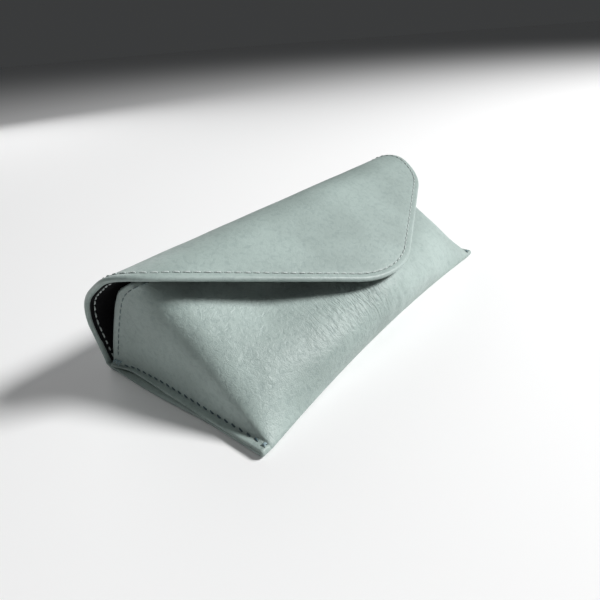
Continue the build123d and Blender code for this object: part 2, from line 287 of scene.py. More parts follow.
def resample(points, count):
    """A polyline's points, spread evenly along it."""
    steps = np.linalg.norm(np.diff(points, axis=0), axis=1)
    along = np.concatenate([[0], np.cumsum(steps)])
    wanted = np.linspace(0, along[-1], count)
    return np.stack([np.interp(wanted, along, points[:, k]) for k in range(points.shape[1])], 1)


# ---- the back sheet's section: outer face in YZ ----
def back_section():
    """Arc length (0 at the split), y, z and heading along the outer face, and where the slope starts."""
    dy, dz = HALF_DEPTH - ROLL_Y, ROLL_Z - WALL_FOOT_Z
    lean = atan2(sqrt(dy**2 + dz**2 - ROLL_RADIUS**2), ROLL_RADIUS) - atan2(dz, dy)
    tangent_y = ROLL_Y + ROLL_RADIUS * cos(lean)
    tangent_z = ROLL_Z + ROLL_RADIUS * sin(lean)
    hinge_y = tangent_y + (-HINGE_RADIUS - (HINGE_RADIUS - tangent_z) * sin(lean)) / cos(lean)
    wall = (tangent_z - HINGE_RADIUS * (1 + sin(lean))) / cos(lean)
    slope_y = ROLL_Y - ROLL_RADIUS * sin(FLAP_SLOPE)
    reach = (slope_y - FLAP_TIP_Y) / cos(FLAP_SLOPE) + FLAP_OVERRUN
    runs = [
        (hinge_y - BASE_LINING_Y, 0),
        (HINGE_RADIUS * (pi / 2 + lean), pi / 2 + lean),
        (wall, 0),
        (ROLL_RADIUS * (pi / 2 + FLAP_SLOPE - lean), pi / 2 + FLAP_SLOPE - lean),
        (reach, 0),
    ]
    lengths = np.array([run[0] for run in runs])
    ends = np.concatenate([[0], np.cumsum(lengths)])
    headings = np.concatenate([[0], np.cumsum([run[1] for run in runs])])
    s = np.linspace(0, ends[-1], SECTION_POINTS)
    heading = np.interp(s, ends, headings)
    middle = (heading[1:] + heading[:-1]) / 2
    step = s[1] - s[0]
    y = BASE_LINING_Y + np.concatenate([[0], np.cumsum(np.cos(middle) * step)])
    z = np.concatenate([[0], np.cumsum(np.sin(middle) * step)])
    rising = heading < pi
    split = np.interp(SPLIT_Z, z[rising], s[rising])
    return s - split, y, z, heading, ends[-2] - split


SECTION_S, SECTION_Y, SECTION_Z, SECTION_HEADING, SLOPE_START = back_section()


def sheet_place(y):
    """Arc length where the rolled top and the flap pass over a place in plan."""
    over = SECTION_HEADING > pi
    return np.interp(-y, -SECTION_Y[over], SECTION_S[over])


TIP_S = sheet_place(FLAP_TIP_Y)


def heading_at(s):
    return np.interp(s, SECTION_S, SECTION_HEADING)


def back_normal(s):
    heading = heading_at(s)
    return np.stack([np.zeros_like(heading), np.sin(heading), -np.cos(heading)], -1)


def back_along(s):
    heading = heading_at(s)
    return np.stack([np.zeros_like(heading), np.cos(heading), np.sin(heading)], -1)


def height_at(s):
    return np.interp(s, SECTION_S, SECTION_Z)


def side_width(s):
    """Half the back sheet's width: as wide as the base at the hinge, as the flap at the roll."""
    on_wall = s < SLOPE_START / 2
    share = np.where(on_wall, np.clip(height_at(s) / ROLL_Z, 0, 1), 1)
    return HINGE_HALF_WIDTH + (FLAP_HALF_WIDTH - HINGE_HALF_WIDTH) * share


def back_point(x, s, depth):
    """A point of the back sheet; x is the place across it, for a sheet as wide as the flap."""
    y = np.interp(s, SECTION_S, SECTION_Y)
    place = np.stack([x * side_width(s) / FLAP_HALF_WIDTH, y, height_at(s)], -1)
    sunk = depth + ROLL_SAG * bell(heading_at(s), SAG_HEADING, SAG_WIDTH)
    return place - back_normal(s) * np.asarray(sunk)[..., None]


# ---- the flap's outline, in the flat sheet: x across, s along ----
def rounded_corner(before, corner, after, radius, steps=40):
    """Points of the arc that rounds a corner."""
    a, b = unit(before - corner), unit(after - corner)
    half_angle = np.arccos(np.clip(a @ b, -1, 1)) / 2
    centre = corner + unit(a + b) * radius / sin(half_angle)
    start = corner + a * radius / tan(half_angle)
    end = corner + b * radius / tan(half_angle)
    first = atan2(*(start - centre)[::-1])
    turn = (atan2(*(end - centre)[::-1]) - first + pi) % (2 * pi) - pi
    angles = first + turn * np.linspace(0, 1, steps)
    return centre + radius * np.stack([np.cos(angles), np.sin(angles)], 1)


def flap_chain(count):
    """Even points from the left end of the split, round the tip, to the right end."""
    left, right = sheet_place(LEFT_SHOULDER_Y), sheet_place(RIGHT_SHOULDER_Y)
    edge_angle = atan2(TIP_S - (left + right) / 2, FLAP_HALF_WIDTH)
    sharp_tip = TIP_S + TIP_RADIUS * (1 / cos(edge_angle) - 1)
    corners = np.array([
        (-FLAP_HALF_WIDTH, 0), (-FLAP_HALF_WIDTH, left), (TIP_X, sharp_tip),
        (RIGHT_SIDE_X, right), (FLAP_HALF_WIDTH, 0),
    ])
    radii = (SHOULDER_RADII[0], TIP_RADIUS, SHOULDER_RADII[1])
    arcs = [rounded_corner(*corners[i:i + 3], radius) for i, radius in enumerate(radii)]
    return resample(np.concatenate([corners[:1], *arcs, corners[-1:]]), count)


def inward(chain):
    """Unit directions from the chain towards the sheet's inside; level at both ends."""
    along = unit(np.gradient(chain, axis=0))
    normals = np.stack([along[:, 1], -along[:, 0]], 1)
    normals[0], normals[-1] = (1, 0), (-1, 0)
    return normals * np.sign(normals[len(chain) // 2] @ np.array([0, -1.0]))


def coons(top, bottom, left, right):
    """A patch of points between four even chains that share their corners."""
    u = np.linspace(0, 1, len(top))[None, :, None]
    v = np.linspace(0, 1, len(left))[:, None, None]
    ruled = (1 - v) * top[None] + v * bottom[None] + (1 - u) * left[:, None] + u * right[:, None]
    upper = (1 - u) * top[0] + u * top[-1]
    lower = (1 - u) * bottom[0] + u * bottom[-1]
    return ruled - (1 - v) * upper - v * lower


def flap_sheet(first_inset, ring_insets):
    """The flap and roll as a flat mesh: rings inside the rim, then a patch. Returns points, distance
    from the rim, faces, border loop and the loop's outward directions."""
    count = 2 * (SIDE_POINTS - 1) + EDGE_POINTS
    rim = flap_chain(count)
    direction = inward(rim)
    insets = [first_inset, *(MM * inset for inset in ring_insets)]
    rings = [rim + direction * inset for inset in insets]
    last = rings[-1]
    left = last[:SIDE_POINTS]
    right = last[::-1][:SIDE_POINTS]
    bottom = last[SIDE_POINTS - 1:count - SIDE_POINTS + 1]
    top = np.linspace(left[0], right[0], len(bottom))
    patch = coons(top, bottom, left, right)
    rows, columns = patch.shape[:2]
    offset = len(rings) * count
    flat = np.concatenate([*rings, patch.reshape(-1, 2)])
    depth = np.concatenate([np.repeat(insets, count), np.full(rows * columns, insets[-1])])
    index = np.arange(rows * columns).reshape(rows, columns) + offset
    seam = np.concatenate([index[:, 0], index[-1, 1:-1], index[::-1, -1]])
    chains = [np.arange(count) + k * count for k in range(len(rings))] + [seam]
    faces = [grid_faces(rows, columns) + offset]
    for outer, inner in zip(chains[:-2], chains[1:-1]):
        faces.append(np.stack([outer[:-1], inner[:-1], inner[1:], outer[1:]], 1))
    merge = np.arange(len(flat))
    merge[chains[-2]] = seam
    faces = merge[np.concatenate(faces)]
    top_left = [merge[chain[0]] for chain in chains[1:-2]]
    top_right = [merge[chain[-1]] for chain in chains[1:-2]]
    loop = np.concatenate([chains[0], top_right, index[0, ::-1], top_left[::-1]]).astype(int)
    outward = np.zeros((len(loop), 2))
    outward[:count] = -direction
    return flat, depth, faces, loop, outward


def drop_unused(points_list, faces, loop):
    """Keeps only the points that faces use."""
    used = np.unique(faces)
    place = np.full(faces.max() + 1, -1)
    place[used] = np.arange(len(used))
    return [points[used] for points in points_list], place[faces], place[loop]


# ---- the pouch's outer face: from the hinge, under the base, round the fold and up the front ----
def under_flap(y):
    """Height of the front's outer face where it lies against the closed flap."""
    flap_y, flap_z = SECTION_Y[-1], SECTION_Z[-1]
    clear = (FLAP_THICKNESS + FRONT_GAP) / cos(FLAP_SLOPE)
    return flap_z + (y - flap_y) * tan(FLAP_SLOPE) - clear


def front_centre(v):
    """The front's middle section (y, z), from the bottom fold (0) to the mouth edge (1)."""
    foot = np.array([-HALF_DEPTH + BOTTOM_PULL_IN, FOLD_RADIUS])
    knee_y = FLAP_TIP_Y + KNEE_INSET
    knee = np.array([knee_y, under_flap(knee_y)])
    if v < KNEE_SHARE:
        t = v / KNEE_SHARE
        bulge = np.array([2 * FRONT_BULGE_Y - (foot[0] + knee_y) / 2, (foot[1] + knee[1]) / 2])
        return foot * (1 - t) ** 2 + bulge * 2 * t * (1 - t) + knee * t**2
    y = knee_y + (MOUTH_MID_Y - knee_y) * (v - KNEE_SHARE) / (1 - KNEE_SHARE)
    sag = MOUTH_SAG * max(0.0, (v - SAG_START) / (1 - SAG_START)) ** SAG_POWER
    return np.array([y, under_flap(y) - sag])


def front_row(v):
    """Points across the front at v, from the left seam edge to the right one."""
    foot_y = -HALF_DEPTH + (2 * HALF_DEPTH - MOUTH_END_GAP) * v
    climb = min(FOLD_RADIUS, foot_y + HALF_DEPTH)
    ear_z = FOLD_RADIUS + sqrt(max(0.0, FOLD_RADIUS**2 - (FOLD_RADIUS - climb) ** 2))
    ear_width = EAR + (MOUTH_EAR - EAR) * smoothstep(v, *EAR_NARROWING)
    edge_x = HALF_LENGTH + (HINGE_HALF_WIDTH - HALF_LENGTH) * smoothstep(v, *END_WIDENING)
    foot = np.array([edge_x - ear_width, foot_y, ear_z])
    edge = np.array([edge_x - EAR_THICKNESS / 2, foot_y, ear_z])
    corner = np.array([foot[0] - CORNER_INSET, -HALF_DEPTH, FOLD_RADIUS])
    ridge = np.array(RIDGE_FOOT) + (np.array(RIDGE_TOP) - np.array(RIDGE_FOOT)) * v
    ridge = corner + (ridge - corner) * smoothstep(v, *CORNER_EASE)
    t = np.linspace(0, 1, EAR_STEPS + 1)[:-1, None]
    ear = edge + (foot - edge) * t
    t = np.linspace(0, 1, WING_STEPS + 1)[:-1, None]
    bow = WING_BOW * (foot[1] - ridge[1]) * (t - t**WING_BOW_POWER)
    wing = foot + (ridge - foot) * t
    wing[:, :1] += WING_OVERHANG * 4 * t * (1 - t) * v**2
    wing[:, 1:2] += bow * v**2
    s = np.linspace(1, 0, FACET_STEPS + 1)[:, None]
    centre = np.array([0, *front_centre(v)])
    low_power, high_power = FACET_ROUNDNESS
    roundness = low_power + (high_power - low_power) * smoothstep(v, *ROUNDNESS_CHANGE)
    facet = np.concatenate([ridge[:1] * s, ridge[1:] + (centre[1:] - ridge[1:]) * (1 - s**roundness)], 1)
    dent = FACET_DENT * 16 * s**2 * (1 - s) ** 2 * bell(v, DENT_PLACE, DENT_SPREAD)
    facet += dent * DENT_DIRECTION
    half = np.concatenate([ear, wing, facet])
    mirrored = half * np.array([-1, 1, 1])
    return np.concatenate([mirrored, half[-2::-1]])


def relax(grid, weights, rounds):
    """Rounds creases by letting each point drift towards the middle of its neighbours."""
    for _ in range(rounds):
        middle = np.zeros_like(grid)
        middle[1:-1] += grid[:-2] / 4 + grid[2:] / 4
        middle[:, 1:-1] += grid[:, :-2] / 4 + grid[:, 2:] / 4
        middle[0] = grid[0]
        middle[-1] = grid[-1]
        middle[-1, 1:-1] = grid[-1, :-2] / 2 + grid[-1, 2:] / 2
        middle[:, [0, -1]] = grid[:, [0, -1]]
        grid = grid + (middle - grid) * weights[..., None]
    return grid


def grid_normals(grid):
    """Outward normals of the front's or the base's grid."""
    down = np.gradient(grid, axis=0)
    across = np.gradient(grid, axis=1)
    return unit(np.cross(across, down))


def front_rows():
    """Values of v, closer together near the fold and the mouth."""
    fold_rows, slope_rows, hem_rows = FRONT_ROW_COUNTS
    return np.concatenate([
        np.linspace(0, FOLD_SHARE, fold_rows)[:-1],
        np.linspace(FOLD_SHARE, HEM_SHARE, slope_rows)[:-1],
        np.linspace(HEM_SHARE, 1, hem_rows),
    ])


def from_sides(columns):
    """Each column's distance from the nearer side, in columns."""
    return np.minimum(np.arange(columns), np.arange(columns)[::-1])[None]


def front_grid():
    """The front's outer face, rounded at its creases."""
    grid = np.array([front_row(v) for v in front_rows()])
    rows, columns = grid.shape[:2]
    row = np.arange(rows)[:, None]
    weights = np.full((rows, columns), RIDGE_SOFTNESS)
    weights *= smoothstep(from_sides(columns), EAR_STEPS - 2, EAR_STEPS + 2)
    weights *= smoothstep(row, *FOLD_STIFF_ROWS)
    weights *= 1 - MOUTH_STIFFNESS * smoothstep(row, rows - MOUTH_STIFF_ROWS[0], rows - MOUTH_STIFF_ROWS[1])
    return relax(grid, weights, RIDGE_ROUNDING)


def noise_at(points, scale, offset=Vector((0, 0, 0))):
    """Smooth noise at each point of an array; always the same for the same place."""
    flat = [noise.noise(Vector(point) * scale + offset) for point in points.reshape(-1, 3)]
    return np.array(flat).reshape(points.shape[:-1])


def wrinkled(grid, normals):
    """Soft leather's unevenness: broad lumps, and creases that run out from under the flap's tip."""
    rows, columns = grid.shape[:2]
    ease = smoothstep(from_sides(columns), *EASE_COLUMNS)
    ease = ease * smoothstep(np.arange(rows)[:, None], *EASE_ROWS)
    lumps = noise_at(grid, LUMP_SCALE)
    fine = noise_at(grid, FINE_SCALE, FINE_OFFSET)
    across, up = grid[..., 0] - TIP_X, grid[..., 2] - TIP_CREASE_Z
    distance = np.hypot(across, up)
    angle = np.arctan2(across, -up)
    rays = np.sin(angle * TIP_CREASES + lumps * 3)
    rays = rays * bell(angle, 0, TIP_CREASE_FAN) * bell(distance, *TIP_CREASE_REACH)
    push = lumps * LUMP_HEIGHT + fine * FINE_HEIGHT + rays * TIP_CREASE_DEPTH
    return grid + normals * (push * ease)[..., None]


def base_rows(fold_row):
    """Rows under the base, from the hinge leather to the bottom fold, then half round the fold."""
    x, fold_y = fold_row[:, 0], fold_row[:, 1]
    rows = []
    for t in np.linspace(0, 1, BASE_ROWS):
        y = STRIP_START_Y + (fold_y + FOLD_RADIUS - STRIP_START_Y) * t
        widening = (HINGE_HALF_WIDTH / HALF_LENGTH - 1) * smoothstep(y, *BASE_WIDENING_Y)
        rows.append(np.stack([x * (1 + widening), y, np.zeros_like(x)], 1))
    for angle in np.linspace(0, pi / 2, FOLD_STEPS)[1:-1]:
        y = fold_y + FOLD_RADIUS * (1 - sin(angle))
        rows.append(np.stack([x, y, np.full_like(x, FOLD_RADIUS * (1 - cos(angle)))], 1))
    return np.array(rows)


def ear_gap(y):
    """How far the two ear layers part towards the hinge."""
    return EAR_GAP * smoothstep(y, *EAR_GAP_OPENS) * (1 - smoothstep(y, *EAR_GAP_CLOSES))


def pouch_thickness(grid, front_start):
    """Thin in the middle, thicker at the ears and at the mouth's hem."""
    rows, columns = grid.shape[:2]
    ear = 1 - smoothstep(from_sides(columns), EAR_STEPS - 1, EAR_STEPS + 6)
    thickness = LEATHER + (EAR_THICKNESS - LEATHER) * ear * np.ones((rows, 1))
    thickness = thickness - ear * ear_gap(grid[..., 1])
    row = np.arange(rows)[:, None]
    near_fold = bell(row, front_start - 1, FOLD_ROWS)
    thickness = thickness + (FOLD_RADIUS - FOLD_SLIT - thickness) * near_fold
    hem = smoothstep(row, rows - HEM_ROWS[0], rows - HEM_ROWS[1]) * (1 - ear)
    return thickness + (HEM_THICKNESS - LEATHER) * hem


def dye_inside(piece, grid_rows, grid_columns, dye):
    """The back of the leather is dyed black inside the pouch, short of the ears and the mouth's hem."""
    first = grid_faces(grid_rows, grid_columns)[:, 0]
    row, column = first // grid_columns, first % grid_columns
    side = np.minimum(column, grid_columns - 2 - column)
    indices = np.zeros(len(piece.data.polygons), dtype=int)
    indices[len(first):2 * len(first)] = (side > EAR_STEPS) & (row < grid_rows - UNDYED_ROWS)
    piece.data.materials.append(dye)
    piece.data.polygons.foreach_set("material_index", indices)
    return piece


def pouch_leather(front, material, dye):
    rows_below = base_rows(front[0])
    grid = np.concatenate([rows_below, front])
    normals = grid_normals(grid)
    thickness = pouch_thickness(grid, len(rows_below))
    rows, columns = grid.shape[:2]
    out = np.zeros_like(grid)
    out[:, 0] = unit(grid[:, 0] - grid[:, 1])
    out[:, -1] = unit(grid[:, -1] - grid[:, -2])
    out[-1, 1:-1] = unit(grid[-1, 1:-1] - grid[-2, 1:-1])
    for column in (0, -1):
        out[-1, column] = unit(out[-1, column] + unit(grid[-1, column] - grid[-2, column]))
    loop = grid_loop(rows, columns)
    flat = [a.reshape(-1, a.shape[-1]) for a in (grid, normals, out)]
    piece = slab("pouch_leather", flat[0], flat[1], thickness.ravel(), grid_faces(rows, columns),
                 loop, flat[2][loop], material)
    return dye_inside(piece, rows, columns, dye)


def front_layer(name, front, row_range, edge, depth, thickness, material):
    """A sheet behind the front leather; row_range and edge say where it stops short of it."""
    within = (slice(*row_range), slice(edge, -edge))
    grid, normals = front[within], grid_normals(front)[within]
    points = grid - normals * depth
    rows, columns = grid.shape[:2]
    loop = grid_loop(rows, columns)
    flat = [a.reshape(-1, 3) for a in (points, normals)]
    return slab(name, flat[0], flat[1], thickness, grid_faces(rows, columns), loop,
                np.zeros((len(loop), 3)), material, rim_steps=2)


# ---- the back sheet's pieces ----
def over_board(flat, depth):
    """1 where the sheet lies over the stiffener, which starts where the slope does, and 0 elsewhere."""
    return smoothstep(depth, *BOARD_EDGE) * smoothstep(flat[:, 1], SLOPE_START - BOARD_LEAD, SLOPE_START)


def rim_outward(flat, loop, outward):
    """The loop's outward directions, from the flat sheet to its place round the roll."""
    return back_along(flat[loop, 1]) * outward[:, 1:] + np.array([1.0, 0, 0]) * outward[:, :1]


def roll_leather(material):
    flat, depth, faces, loop, outward = flap_sheet(EDGE_THICKNESS / 2, LEATHER_RINGS)
    groove = GROOVE_DEPTH * bell(depth, STITCH_INSET, GROOVE_WIDTH)
    points = back_point(flat[:, 0], flat[:, 1], groove)
    normals = back_normal(flat[:, 1])
    lumps = noise_at(points, ROLL_LUMP_SCALE, ROLL_LUMP_OFFSET) * ROLL_LUMP_HEIGHT
    points = points + normals * (lumps * smoothstep(flat[:, 1], *ROLL_LUMP_START))[:, None]
    thickness = EDGE_THICKNESS - (EDGE_THICKNESS - LEATHER) * over_board(flat, depth)
    out = rim_outward(flat, loop, outward)
    arrays, faces, loop = drop_unused([points, normals, thickness[:, None]], faces, loop)
    return slab("roll_leather", arrays[0], arrays[1], arrays[2][:, 0], faces, loop, out, material)


def roll_lining(material):
    flat, depth, faces, loop, outward = flap_sheet(EDGE_THICKNESS / 2 + LINING_RIM_GAP, LINING_RINGS)
    dent = LINING_DENT * bell(depth, STITCH_INSET, GROOVE_WIDTH)
    layer_depth = RIM_LINING_DEPTH + (LINING_DEPTH - RIM_LINING_DEPTH) * over_board(flat, depth)
    points = back_point(flat[:, 0], flat[:, 1], layer_depth - dent)
    normals = back_normal(flat[:, 1])
    out = rim_outward(flat, loop, outward)
    arrays, faces, loop = drop_unused([points, normals], faces, loop)
    return slab("roll_lining", arrays[0], arrays[1], LINING, faces, loop, out, material)


def base_to_wall(s, base_value, wall_value, change_z=WALL_START_Z):
    """A measure of the strips that changes from the base to the wall."""
    return base_value + (wall_value - base_value) * smoothstep(height_at(s), *change_z)


def strip(name, first_s, inset, depth, thickness, material, rows=60, columns=150):
    """A band of the back sheet that ends at the split and runs the whole way across, with butt ends.
    Inset, depth and thickness are functions of the arc length."""
    places = (np.linspace(first_s, 0, rows), np.linspace(-1, 1, columns))
    s_grid, across = np.meshgrid(*places, indexing="ij")
    thick = thickness(s_grid)
    x_grid = across * (FLAP_HALF_WIDTH - inset(s_grid) - thick / 2)
    points = back_point(x_grid, s_grid, depth(s_grid))
    normals = back_normal(s_grid)
    out = np.zeros_like(points)
    out[:, 0, 0], out[:, -1, 0] = -1, 1
    loop = grid_loop(rows, columns)
    flat = [a.reshape(-1, 3) for a in (points, normals, out)]
    return slab(name, flat[0], flat[1], thick.ravel(), grid_faces(rows, columns), loop,
                flat[2][loop], material)


def hinge_leather(material):
    first_s = SECTION_S[0] + STRIP_START_Y - BASE_LINING_Y
    return strip("hinge_leather", first_s, np.zeros_like, np.zeros_like,
                 lambda s: base_to_wall(s, LEATHER, EDGE_THICKNESS), material)


def base_lining(material):
    """Over the base board and inside the wings' feet, then close against the wall and out to its rim."""
    return strip("base_lining_cloth", SECTION_S[0],
                 lambda s: base_to_wall(s, BASE_LINING_INSET, WALL_LINING_INSET, INSET_CHANGE_Z),
                 lambda s: base_to_wall(s, LINING_DEPTH, RIM_LINING_DEPTH),
                 lambda s: np.full_like(s, LINING), material)


# ---- stitching ----
def capsule(length, width, height, around=8, steps=9):
    """One stitch along +X on the plane z = 0: a bowed thread whose two ends dive in."""
    points, faces = [], []
    for i in range(steps):
        t = -1 + 2 * i / (steps - 1)
        swell = sqrt(max(0.02, 1 - abs(t) ** 5))
        lift = height * (0.45 - 1.1 * t**4)
        for j in range(around):
            angle = 2 * pi * j / around
            side, rise = width / 2 * swell * cos(angle), height / 2 * swell * sin(angle)
            points.append((t * length / 2, side, lift + rise))
    for i in range(steps - 1):
        for j in range(around):
            k = (j + 1) % around
            faces.append((i * around + j, i * around + k, (i + 1) * around + k, (i + 1) * around + j))
    faces.append(tuple(range(around))[::-1])
    faces.append(tuple((steps - 1) * around + j for j in range(around)))
    return np.array(points), faces


def stitching(name, stitches, thread, size=EDGE_STITCH):
    """Many stitches as one piece, each with a dark blob of painted shade for the needle hole at both ends.
    A stitch is given as its place, its direction along and the surface's normal."""
    shape, shape_faces = capsule(*size)
    hole_shade, hole_shade_faces = capsule(*NEEDLE_HOLE_SHADE, steps=7)
    points, faces, slots = [], [], []

    def add(template, template_faces, place, axes, slot):
        start = sum(len(block) for block in points)
        points.append(place + template @ axes)
        faces.extend([tuple(start + i for i in face) for face in template_faces])
        slots.extend([slot] * len(template_faces))

    for place, along, normal in stitches:
        along, normal = unit(along), unit(normal)
        axes = np.stack([along, np.cross(normal, along), normal])
        add(shape, shape_faces, place, axes, 0)
        # a dark blob at each end paints the shade of the needle hole
        for end in (-1, 1):
            add(hole_shade, hole_shade_faces, place + along * end * size[0] * 0.52, axes, 1)
    return mesh_object(name, np.concatenate(points), faces, [thread, needle_hole_shade], slots)


def along_chain(points, normals, pitch):
    """Evenly spaced stitches on a chain of points with normals."""
    steps = np.linalg.norm(np.diff(points, axis=0), axis=1)
    distance = np.concatenate([[0], np.cumsum(steps)])
    count = int(distance[-1] / pitch)
    wanted = (np.arange(count) + 0.5) * distance[-1] / count
    place = np.stack([np.interp(wanted, distance, points[:, k]) for k in range(3)], 1)
    normal = np.stack([np.interp(wanted, distance, normals[:, k]) for k in range(3)], 1)
    tangent = unit(np.gradient(points, axis=0))
    along = np.stack([np.interp(wanted, distance, tangent[:, k]) for k in range(3)], 1)
    return list(zip(place, along, normal))


def back_stitches(chain):
    """Stitches along a chain (x, s) of the back sheet, on the outer face and on the lining."""
    normals = back_normal(chain[:, 1])
    outer = back_point(chain[:, 0], chain[:, 1], np.full(len(chain), GROOVE_DEPTH))
    inner_depth = RIM_LINING_DEPTH + LINING - LINING_SINK
    inner = back_point(chain[:, 0], chain[:, 1], np.full(len(chain), inner_depth))
    return along_chain(outer, normals, STITCH_PITCH) + along_chain(inner, -normals, STITCH_PITCH)


def flap_edge_stitches():
    chain = flap_chain(CHAIN_POINTS)
    return back_stitches(chain + inward(chain) * STITCH_INSET)


def spine_edge_stitches():
    """Up both edges of the wall, from just above the seam to the split."""
    rising = SECTION_HEADING < pi
    first = np.interp(SPINE_STITCH_START_Z, SECTION_Z[rising], SECTION_S[rising])
    s = np.linspace(first, 0, 60)
    x = FLAP_HALF_WIDTH - STITCH_INSET
    stitches = []
    for side in (-1, 1):
        stitches += back_stitches(np.stack([np.full_like(s, side * x), s], 1))
    return stitches


def mouth_stitches(front, normals):
    """Along the hem of the mouth edge, on the row that is HEM_INSET from it near the right ridge."""
    column = front.shape[1] // 2 + FACET_STEPS * 3 // 4
    steps = np.linalg.norm(np.diff(front[:, column], axis=0), axis=1)
    from_edge = np.cumsum(steps[::-1])
    row = len(front) - 2 - int(np.searchsorted(from_edge, HEM_INSET))
    columns = slice(EAR_STEPS + 3, -EAR_STEPS - 3)
    line = front[row, columns] - normals[row, columns] * HEM_SINK
    return along_chain(line, normals[row, columns], STITCH_PITCH)


def seam_line(front, normals, side):
    """Points of the front where an ear's seam runs, from the fold to the mouth, with their normals."""
    column = EAR_STEPS - 1 if side < 0 else -EAR_STEPS
    y = front[:, column, 1]
    keep = (y > -HALF_DEPTH + SEAM_ENDS[0]) & (y < front[-1, column, 1] - SEAM_ENDS[1])
    return front[keep, column] - normals[keep, column] * SEAM_SINK, normals[keep, column]


def knot_stitches(front, normals, side):
    """The thread's end, tied off in two small crossed loops at the bottom fold."""
    places, directions = seam_line(front, normals, side)
    return [(places[0] + KNOT_OFFSET, np.array([1, slope, 0]), directions[0]) for slope in KNOT_SLOPES]


def slanted(stitches, angle):
    """Lock stitches lie a little askew to their seam."""
    turned = []
    for place, along, normal in stitches:
        along, normal = unit(along), unit(normal)
        turned.append((place, along * cos(angle) + np.cross(normal, along) * sin(angle), normal))
    return turned


def bartack_stitches(front, side):
    """A short dense bar of crossing threads where the seam ends at the mouth."""
    column = EAR_STEPS + 1 if side < 0 else -EAR_STEPS - 2
    start = front[len(front) - 3, column] + BARTACK_OFFSET
    up = np.array([0, 0, 1.0])
    return [(start + k * BARTACK_STEP, np.array([1, BARTACK_SLOPE * (-1) ** k, 0]), up)
            for k in range(BARTACK_THREADS)]


# ---- materials ----
def new_material(name):
    material = bpy.data.materials.new(name)
    material.use_nodes = True
    nodes = material.node_tree.nodes
    return material, nodes, material.node_tree.links, nodes["Principled BSDF"]


def texture(nodes, links, kind, scale, vector=None, **settings):
    """A 3D texture node, laid out in object space if no vector is given."""
    node = nodes.new(kind)
    links.new(vector or nodes.new("ShaderNodeTexCoord").outputs["Object"], node.inputs["Vector"])
    node.inputs["Scale"].default_value = scale
    for key, value in settings.items():
        if key in node.inputs:
            node.inputs[key].default_value = value
        else:
            setattr(node, key, value)
    return node


def ramp(nodes, links, source, stops):
    """A colour ramp fed by a value, with two stops of (position, colour)."""
    node = nodes.new("ShaderNodeValToRGB")
    links.new(source, node.inputs["Fac"])
    for element, (position, colour) in zip(node.color_ramp.elements, stops):
        element.position = position
        element.color = (*colour, 1)
    return node


def multiply(nodes, links, factor, a, b):
    """Colour a, darkened by colour b."""
    node = nodes.new("ShaderNodeMix")
    node.data_type = "RGBA"
    node.blend_type = "MULTIPLY"
    node.inputs["Factor"].default_value = factor
    links.new(a, node.inputs[6])
    links.new(b, node.inputs[7])
    return node.outputs[2]


def bump(nodes, links, height, strength, distance, under=None):
    node = nodes.new("ShaderNodeBump")
    node.inputs["Strength"].default_value = strength
    node.inputs["Distance"].default_value = distance
    links.new(height, node.inputs["Height"])
    if under is not None:
        links.new(under, node.inputs["Normal"])
    return node.outputs["Normal"]


def value_range(nodes, links, source, low, high):
    node = nodes.new("ShaderNodeMapRange")
    links.new(source, node.inputs["Value"])
    node.inputs["To Min"].default_value = low
    node.inputs["To Max"].default_value = high
    return node.outputs["Result"]


def leather_material(name, colour, crinkle, tip_crinkles=False):
    """Fine-grained satin leather: pebbled cells, thin creases, cloudy colour, duller and with painted shade
    in the pits.
    """
    material, nodes, links, shader = new_material(name)
    cells = texture(nodes, links, "ShaderNodeTexVoronoi", 1500, feature="DISTANCE_TO_EDGE", Randomness=1.0)
    creases = texture(nodes, links, "ShaderNodeTexNoise", 520, Detail=6.0, Roughness=0.65, Distortion=0.6)
    clouds = texture(nodes, links, "ShaderNodeTexNoise", 28, Detail=4.0, Roughness=0.55)
    cell_height = value_range(nodes, links, cells.outputs["Distance"], 0, 1)
    dark = tuple(c * 0.86 for c in colour)
    light = tuple(min(1, c * 1.08 + 0.01) for c in colour)
    cloudy = ramp(nodes, links, clouds.outputs["Fac"], [(0.35, dark), (0.68, light)])
    # painted shade: the colour darkens in the pits of the crease bump
    crease_pit_shade = ramp(nodes, links, creases.outputs["Fac"], [(0.36, (0.80, 0.82, 0.83)), (0.52, (1, 1, 1))])
    colour_out = multiply(nodes, links, 0.75, cloudy.outputs["Color"], crease_pit_shade.outputs["Color"])
    links.new(colour_out, shader.inputs["Base Color"])
    links.new(value_range(nodes, links, creases.outputs["Fac"], 0.56, 0.34), shader.inputs["Roughness"])
    grain = bump(nodes, links, cell_height, 0.25, 0.00025)
    grain = bump(nodes, links, creases.outputs["Fac"], crinkle, 0.0005, grain)
    if tip_crinkles:
        grain = bump(nodes, links, tip_crinkle_height(nodes, links), 1.0, 0.0012, grain)
    links.new(grain, shader.inputs["Normal"])
    shader.inputs["Specular IOR Level"].default_value = 0.5
    return material


def tip_crinkle_height(nodes, links):
    """Fine pleats that run up the front, only round the place where the flap's tip presses on it."""
    place = nodes.new("ShaderNodeTexCoord")
    stretch = nodes.new("ShaderNodeMapping")
    stretch.inputs["Scale"].default_value = (1, 0.25, 0.25)
    links.new(place.outputs["Object"], stretch.inputs["Vector"])
    pleats = texture(nodes, links, "ShaderNodeTexNoise", 760, stretch.outputs["Vector"],
                     Detail=3.0, Distortion=0.8)
    centre = nodes.new("ShaderNodeMapping")
    centre.inputs["Location"].default_value = CRINKLE_CENTRE
    centre.vector_type = "TEXTURE"
    centre.inputs["Scale"].default_value = CRINKLE_REACH
    links.new(place.outputs["Object"], centre.inputs["Vector"])
    ball = nodes.new("ShaderNodeTexGradient")
    ball.gradient_type = "QUADRATIC_SPHERE"
    links.new(centre.outputs["Vector"], ball.inputs["Vector"])
    share = nodes.new("ShaderNodeMath")
    share.operation = "MULTIPLY"
    links.new(pleats.outputs["Fac"], share.inputs[0])
    links.new(ball.outputs["Fac"], share.inputs[1])
    return share.outputs["Value"]


